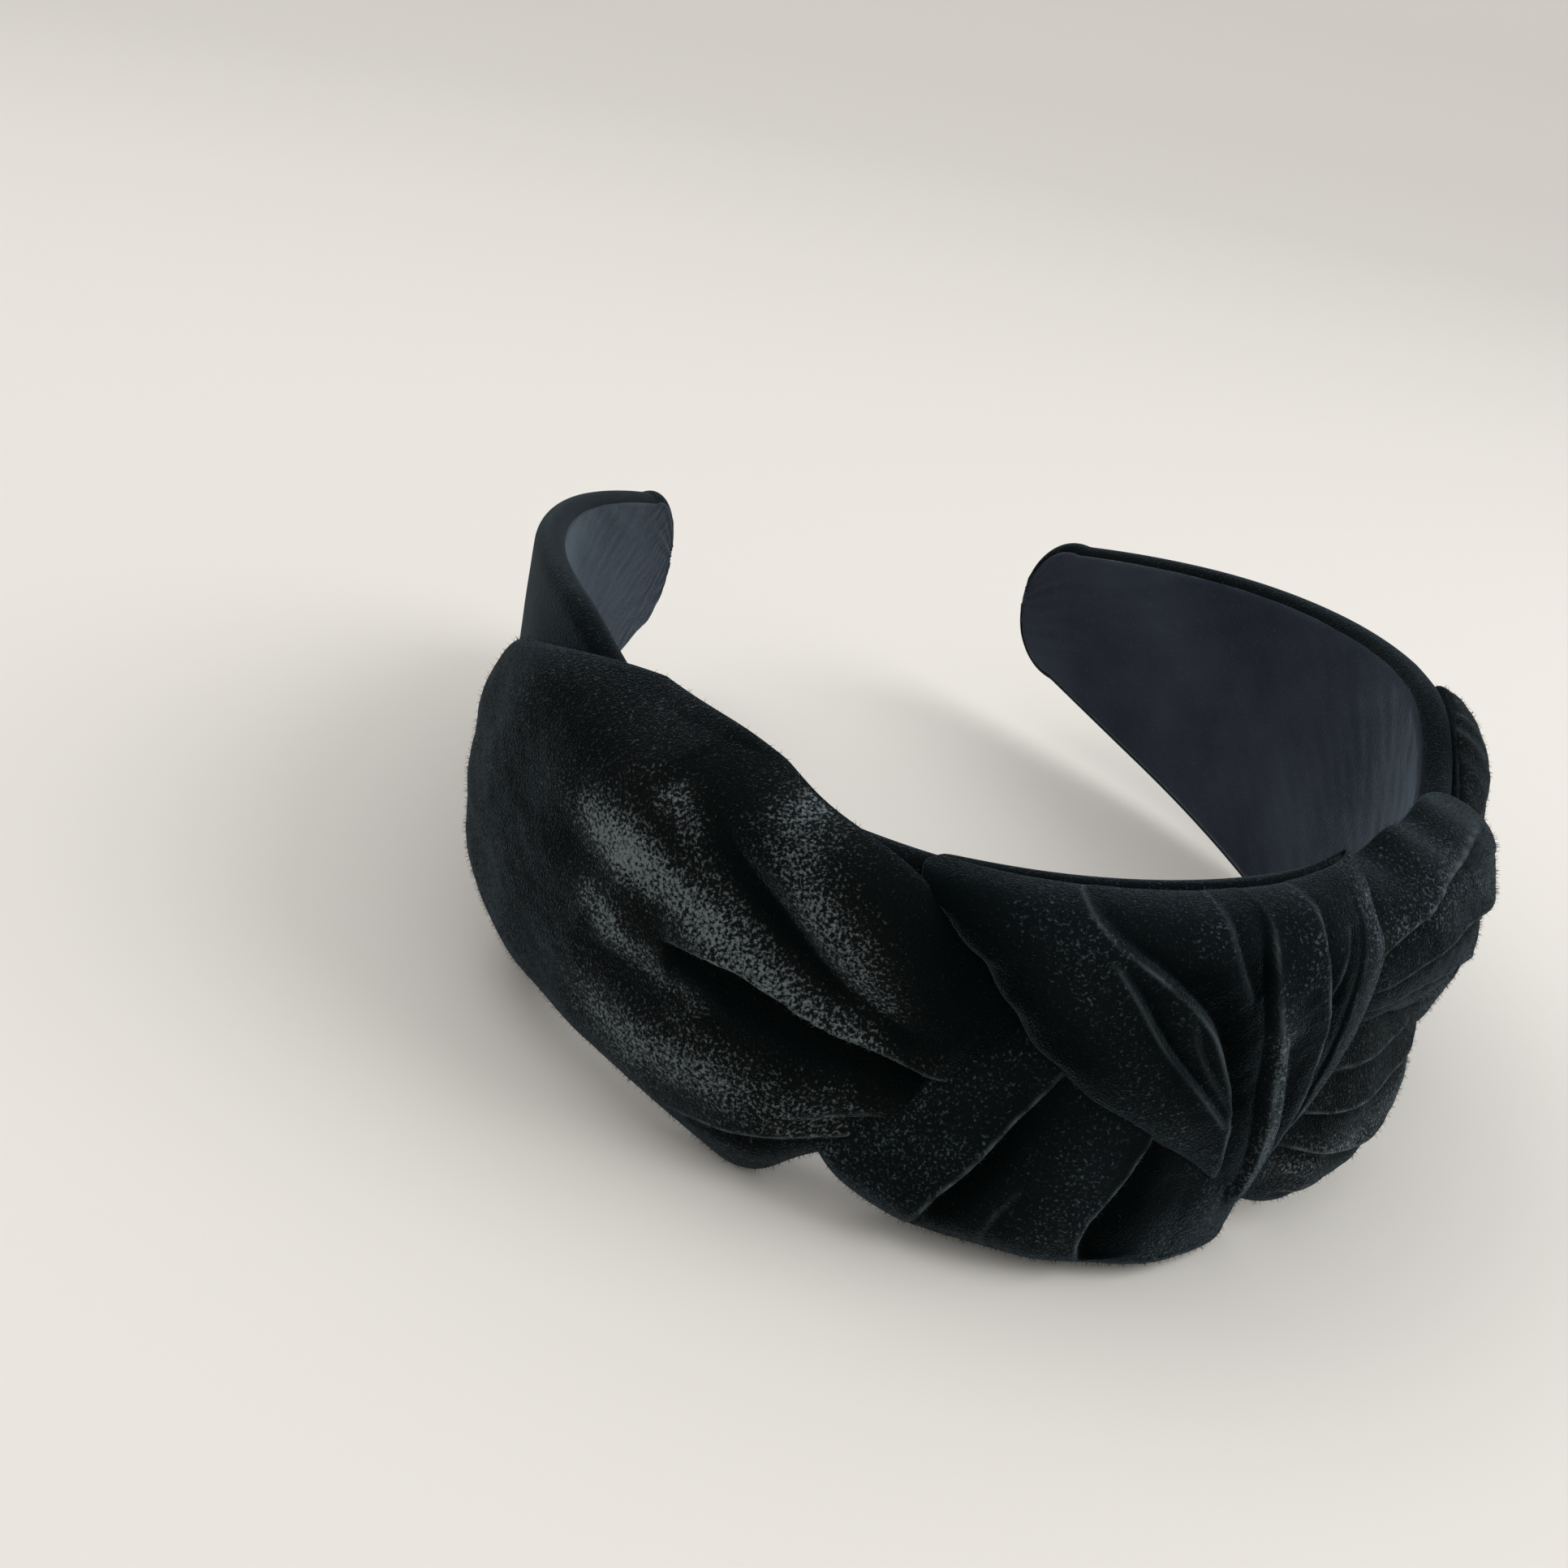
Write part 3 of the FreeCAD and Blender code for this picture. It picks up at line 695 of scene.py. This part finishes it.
def velvet_group():
    """Crushed patches, grain and height of a velvet pile from Object coordinates, carrying the painted
    highlight and shade of the streaks.
    """
    group = bpy.data.node_groups.new("velvet pile", "ShaderNodeTree")
    for name in ("Patch Size", "Patch Amount", "Grain Size", "Streak"):
        group.interface.new_socket(name=name, in_out="INPUT", socket_type="NodeSocketFloat")
    for name in ("Crush", "Height", "Tone"):
        group.interface.new_socket(name=name, in_out="OUTPUT", socket_type="NodeSocketFloat")
    given = group.nodes.new("NodeGroupInput").outputs
    made = group.nodes.new("NodeGroupOutput").inputs
    tone = noise(group, TONE_SCALE, 2.0)
    grain = noise(group, given["Grain Size"], 2.5, roughness=0.65)
    patch = noise(group, given["Patch Size"], 3.0, distortion=0.6)
    patch_start = maths(group, "SUBTRACT", PATCH_TOP, given["Patch Amount"])
    patches = spread(group, patch, patch_start, PATCH_TOP)
    clumps = maths(group, "MULTIPLY", tone, CLUMPS)
    streaks = maths(group, "MULTIPLY", given["Streak"], clumps)
    # the streaks bring their painted highlight and painted shade into the crushing
    crushing_with_painted_light = maths(group, "ADD", patches, streaks)
    grain_start = maths(group, "MULTIPLY_ADD", crushing_with_painted_light, -GRAIN_RANGE, GRAIN_START)
    grain_end = maths(group, "ADD", grain_start, GRAIN_RANGE)
    grains = spread(group, grain, grain_start, grain_end)
    strength = maths(group, "MULTIPLY_ADD", crushing_with_painted_light, CRUSH_GAIN, CRUSH_BASE, clamp=True)
    feed(group, made["Crush"], maths(group, "MULTIPLY", strength, grains))
    feed(group, made["Height"], maths(group, "ADD", grain, noise(group, FINE_SCALE, 1.5)))
    feed(group, made["Tone"], maths(group, "MULTIPLY_ADD", crushing_with_painted_light, TONE_GAIN, tone, clamp=True))
    return group


VELVET = velvet_group()
print("velvet pile group has", len(VELVET.nodes), "nodes")

# %% [markdown]
# ## Three velvets
# The puff's velvet is crushed in wide patches. The fan, the rising strand and the wrap are
# quieter, and the lining is short, smooth and a little bluer. Each is the same material with
# other values. The two values painted on the strands are a painted highlight along the fold rims,
# and crushed pile with painted highlight on crests and painted shade in valleys and deep folds; where a
# piece has none, they read as 0.

# %% Velvet materials
GRAIN_SIZE = 2200.0                  # per metre
RIM_HIGHLIGHT = 0.6                       # how far a painted rim highlight goes to the pale colour
ROUGH_UPRIGHT, ROUGH_CRUSHED = 0.85, 0.45
PILE_DEPTH = 0.0004                  # m


def material_of(name):
    """A new material with its tree and its Principled shader."""
    material = bpy.data.materials.new(name)
    material.use_nodes = True
    return material, material.node_tree, material.node_tree.nodes["Principled BSDF"]


def painted(tree, name):
    node = tree.nodes.new("ShaderNodeAttribute")
    node.attribute_name = name
    return node.outputs["Fac"]


def velvet(name, dark, lit, pale, patches, sheen, bump):
    """Velvet whose ground goes from dark to lit, with pale grains of crushed pile and painted highlight;
    patches are size and amount.
    """
    material, tree, shader = material_of(name)
    pile = tree.nodes.new("ShaderNodeGroup")
    pile.node_tree = VELVET
    given = {"Patch Size": patches[0], "Patch Amount": patches[1], "Grain Size": GRAIN_SIZE,
             "Streak": painted(tree, "crush")}
    for socket, value in given.items():
        feed(tree, pile.inputs[socket], value)
    # the ground tone also goes darker under painted shade
    ground = mixed(tree, pile.outputs["Tone"], (*dark, 1), (*lit, 1))
    surface = mixed(tree, pile.outputs["Crush"], ground, (*pale, 1))
    # painted highlight along the fold rims
    rim = maths(tree, "MULTIPLY", painted(tree, "rim"), RIM_HIGHLIGHT)
    rough = spread(tree, pile.outputs["Crush"], 0.0, 1.0, ROUGH_UPRIGHT, ROUGH_CRUSHED)
    feed(tree, shader.inputs["Base Color"], mixed(tree, rim, surface, (*pale, 1)))
    feed(tree, shader.inputs["Roughness"], rough)
    relief = tree.nodes.new("ShaderNodeBump")
    relief.inputs["Strength"].default_value = bump
    relief.inputs["Distance"].default_value = PILE_DEPTH
    feed(tree, relief.inputs["Height"], pile.outputs["Height"])
    feed(tree, shader.inputs["Normal"], relief.outputs["Normal"])
    shader.inputs["Specular IOR Level"].default_value = 0.03
    shader.inputs["Sheen Weight"].default_value = sheen
    shader.inputs["Sheen Roughness"].default_value = 0.25
    shader.inputs["Sheen Tint"].default_value = (0.52, 0.69, 0.80, 1)
    print(name)
    return material


crushed = velvet("crushed_velvet", (0.0006, 0.0024, 0.0024), (0.0050, 0.0056, 0.0054),
                 (0.125, 0.150, 0.155), patches=(42.0, 0.28), sheen=0.21, bump=0.7)
quiet = velvet("quiet_velvet", (0.0003, 0.0016, 0.0016), (0.0048, 0.0074, 0.0084),
               (0.095, 0.118, 0.128), patches=(42.0, 0.05), sheen=0.22, bump=0.6)
smooth = velvet("smooth_velvet", (0.003, 0.005, 0.009), (0.052, 0.062, 0.082),
                (0.10, 0.11, 0.125), patches=(30.0, 0.05), sheen=0.60, bump=0.35)

# %% [markdown]
# ## Finishes of the hidden parts
# The hoop, wadding, glue and thread are inside the cloth. Each gets a plain finish with a
# faint mottle, so that it still looks right when the cloth is taken away.

# %% Hidden finishes
MOTTLE = 0.7                # the darker tone beside the full colour


def plain(name, colour, roughness, grain):
    """A finish for the hidden hard and soft parts."""
    material, tree, shader = material_of(name)
    darker = tuple(MOTTLE * c for c in colour)
    feed(tree, shader.inputs["Base Color"], mixed(tree, noise(tree, grain, 2.0), (*colour, 1), (*darker, 1)))
    shader.inputs["Roughness"].default_value = roughness
    return material


hidden = {"hoop_plastic": plain("hoop_plastic", (0.03, 0.03, 0.032), 0.45, 900.0),
          "wadding": plain("wadding", (0.8, 0.8, 0.78), 0.95, 400.0),
          "glue": plain("glue", (0.85, 0.83, 0.74), 0.3, 300.0),
          "thread": plain("thread", (0.02, 0.02, 0.02), 0.8, 2000.0)}
print("hidden finishes:", *hidden)

# %% [markdown]
# ## Loose pile
# A few fibres of the pile stand off the surface and soften its outline. Hair would do it in a
# render, but only a mesh can be exported. So a geometry-nodes tree scatters tiny three-sided
# cones over each strand, and is then applied.

# %% Loose pile: short fibres that stand off the surface
FIBRE_LENGTH, FIBRE_RADIUS = 0.75, 0.035        # mm
FIBRES_PER_M2 = 900000.0
FIBRE_LEAN, FIBRE_TURN = 0.9, 3.1               # most that a fibre leans and turns, in radians


def fibre_cone():
    """One fibre, with its foot at the origin."""
    deselect()
    bpy.ops.mesh.primitive_cone_add(vertices=3, radius1=FIBRE_RADIUS * MM, depth=FIBRE_LENGTH * MM,
                                    location=(0, 0, FIBRE_LENGTH * MM / 2))
    fibre = bpy.context.object
    bpy.ops.object.transform_apply(location=True)
    return fibre


def scatter_tree(name, piece, fibre, seed):
    """Geometry nodes that put copies of the fibre all over a piece."""
    tree = bpy.data.node_groups.new(name, "GeometryNodeTree")
    tree.interface.new_socket(name="Geometry", in_out="OUTPUT", socket_type="NodeSocketGeometry")
    add, link = tree.nodes.new, tree.links.new
    ground, cone = add("GeometryNodeObjectInfo"), add("GeometryNodeObjectInfo")
    ground.inputs["Object"].default_value, cone.inputs["Object"].default_value = piece, fibre
    spots = add("GeometryNodeDistributePointsOnFaces")
    spots.inputs["Density"].default_value = FIBRES_PER_M2
    spots.inputs["Seed"].default_value = seed
    turn, lean = add("FunctionNodeRotateRotation"), add("FunctionNodeRandomValue")
    turn.rotation_space = "LOCAL"
    lean.data_type = "FLOAT_VECTOR"
    lean.inputs[0].default_value = (-FIBRE_LEAN, -FIBRE_LEAN, -FIBRE_TURN)
    lean.inputs[1].default_value = (FIBRE_LEAN, FIBRE_LEAN, FIBRE_TURN)
    place, real = add("GeometryNodeInstanceOnPoints"), add("GeometryNodeRealizeInstances")
    link(ground.outputs["Geometry"], spots.inputs["Mesh"])
    link(spots.outputs["Points"], place.inputs["Points"])
    link(cone.outputs["Geometry"], place.inputs["Instance"])
    link(spots.outputs["Rotation"], turn.inputs[0])
    link(lean.outputs["Value"], turn.inputs[1])
    link(turn.outputs[0], place.inputs["Rotation"])
    link(place.outputs["Instances"], real.inputs[0])
    link(real.outputs[0], add("NodeGroupOutput").inputs[0])
    return tree


def loose_pile(name, piece, seed):
    """Fibres over a piece, as one mesh."""
    fibre = fibre_cone()
    bpy.ops.mesh.primitive_plane_add(size=MM)
    pile = bpy.context.object
    pile.name = pile.data.name = name
    nodes = pile.modifiers.new("loose pile", "NODES")
    nodes.node_group = scatter_tree(name + " nodes", piece, fibre, seed)
    bpy.ops.object.modifier_apply(modifier=nodes.name)
    bpy.data.objects.remove(fibre)
    print(name, len(pile.data.vertices), "points")
    return pile


piles = [loose_pile("pile_" + piece.name, piece, i) for i, piece in enumerate(strands)]

# %% [markdown]
# ## Dressing
# Each piece gets one finish. The puff and the last strand are crushed, the lining is smooth
# and the rest is quiet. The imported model's own parts are found by the slot in their record.

# %% Dress every piece
def dress(piece, material):
    piece.data.materials.clear()
    piece.data.materials.append(material)


for pieces, material in (((*piles, rising, fan, *wraps.values()), quiet), ((puff, fan_end), crushed),
                         (linings.values(), smooth)):
    for piece in pieces:
        dress(piece, material)
for part in frame["record"]["subparts"]:
    finish = hidden.get(part["material_slot"], smooth)
    node = frame["nodes"][part["node"]]
    for slot in node.material_slots:
        slot.material = finish

# %% [markdown]
# ## What moves with what
# The plait stays with the crown. Each half of the wrap and of the lining stays where it is made,
# and the imported covers and linings that it takes the place of are hidden.

# %% Ride and replace
JOINTS = {"left": -1, "right": 1}
BLEND_HALF = 9.0            # mm each side of the joint, where a start and an end point are found

for pile in piles:
    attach(pile, "crown")
for piece in strands:
    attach(piece, "crown")
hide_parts("puff_strand_cover", "puff_strand_fill")
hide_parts("rising_strand_cover", "rising_strand_fill")
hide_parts("fan_strand_cover", "fan_strand_fill")

for word, side in JOINTS.items():
    start, end = (Vector(on_hoop(side * (FLEX_S + shift), MID_Z, 0.0))
                  for shift in (-BLEND_HALF, BLEND_HALF))
    for piece in (wraps[word], linings[word]):
        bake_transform(piece)
    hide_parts("leg_cover_" + word, *(("crown_cover",) if word == "right" else ()))
    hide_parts("leg_lining_" + word, *(("crown_lining",) if word == "right" else ()))

# %% [markdown]
# ## Floor
# A pale sheet of paper curves up far behind, so no edge shows. A circle is extruded outward
# and upward a few times to make a shallow bowl.

# %% Floor
FLOOR_RADIUS = 1.2                                                  # m
BOWL = ((1.25, 0.03), (1.2, 0.10), (1.12, 0.22), (1.05, 0.40))      # growth and lift of each ring


def backdrop():
    deselect()
    bpy.ops.mesh.primitive_circle_add(vertices=96, radius=FLOOR_RADIUS, fill_type="NGON")
    floor = bpy.context.object
    floor.name = "floor"
    bpy.ops.object.mode_set(mode="EDIT")
    bpy.ops.mesh.select_all(action="SELECT")
    for grow, lift in BOWL:
        bpy.ops.mesh.extrude_region_move(TRANSFORM_OT_translate={"value": (0, 0, lift)})
        bpy.ops.transform.resize(value=(grow, grow, 1))
    bpy.ops.mesh.delete(type="ONLY_FACE")
    bpy.ops.object.mode_set(mode="OBJECT")
    bpy.ops.object.shade_smooth()
    return floor


floor = backdrop()
paper, _, paper_shader = material_of("paper")
paper_shader.inputs["Base Color"].default_value = (0.795, 0.765, 0.695, 1)
paper_shader.inputs["Roughness"].default_value = 0.8
dress(floor, paper)
print("floor is", round(max(floor.dimensions), 1), "m across")

# %% [markdown]
# ## Light
# Two wide soft lamps: the stronger and cooler one stands in front on the right, and a weaker,
# warmer one behind on the left. An even grey surrounding fills the shadows, because black
# velvet shows its folds only in broad soft light.

# %% Lamps and surrounding light
def lamp(name, place, size, power, colour):
    """A round soft lamp that looks at the origin."""
    data = bpy.data.lights.new(name, "AREA")
    data.shape, data.size, data.energy, data.color = "DISK", size, power, colour
    light = bpy.data.objects.new(name, data)
    bpy.context.scene.collection.objects.link(light)
    light.location = place
    light.rotation_euler = (-Vector(place)).to_track_quat("-Z", "Y").to_euler()
    print(name, power, "W")


lamp("window", (-0.5, 0.35, 0.9), 0.7, 1.5, (1.0, 0.98, 0.95))
lamp("room", (0.75, -0.35, 0.75), 0.8, 5.1, (0.95, 0.97, 1.0))

world = bpy.data.worlds.new("room light")
bpy.context.scene.world = world
world.use_nodes = True
world.node_tree.nodes["Background"].inputs["Color"].default_value = (0.96, 0.96, 1.0, 1)
world.node_tree.nodes["Background"].inputs["Strength"].default_value = 0.80

# %% [markdown]
# ## Camera
# The band is seen from in front, a little from the left and from above, with the camera
# tilted to one side, from as near as one would hold it.

# %% Camera: low and close, tilted to one side
eye = bpy.data.objects.new("camera", bpy.data.cameras.new("camera"))
bpy.context.scene.collection.objects.link(eye)
eye.location = Vector((-93.3, -249.8, 143.8)) * MM
eye.rotation_euler = Euler([math.radians(a) for a in (64.36, -10.30, -9.82)])
eye.data.lens = 41.9
eye.data.clip_start = 0.01
bpy.context.scene.camera = eye
bpy.context.scene.view_settings.view_transform = "Standard"
print("camera is", round(eye.location.length / MM), "mm from the middle of the band")
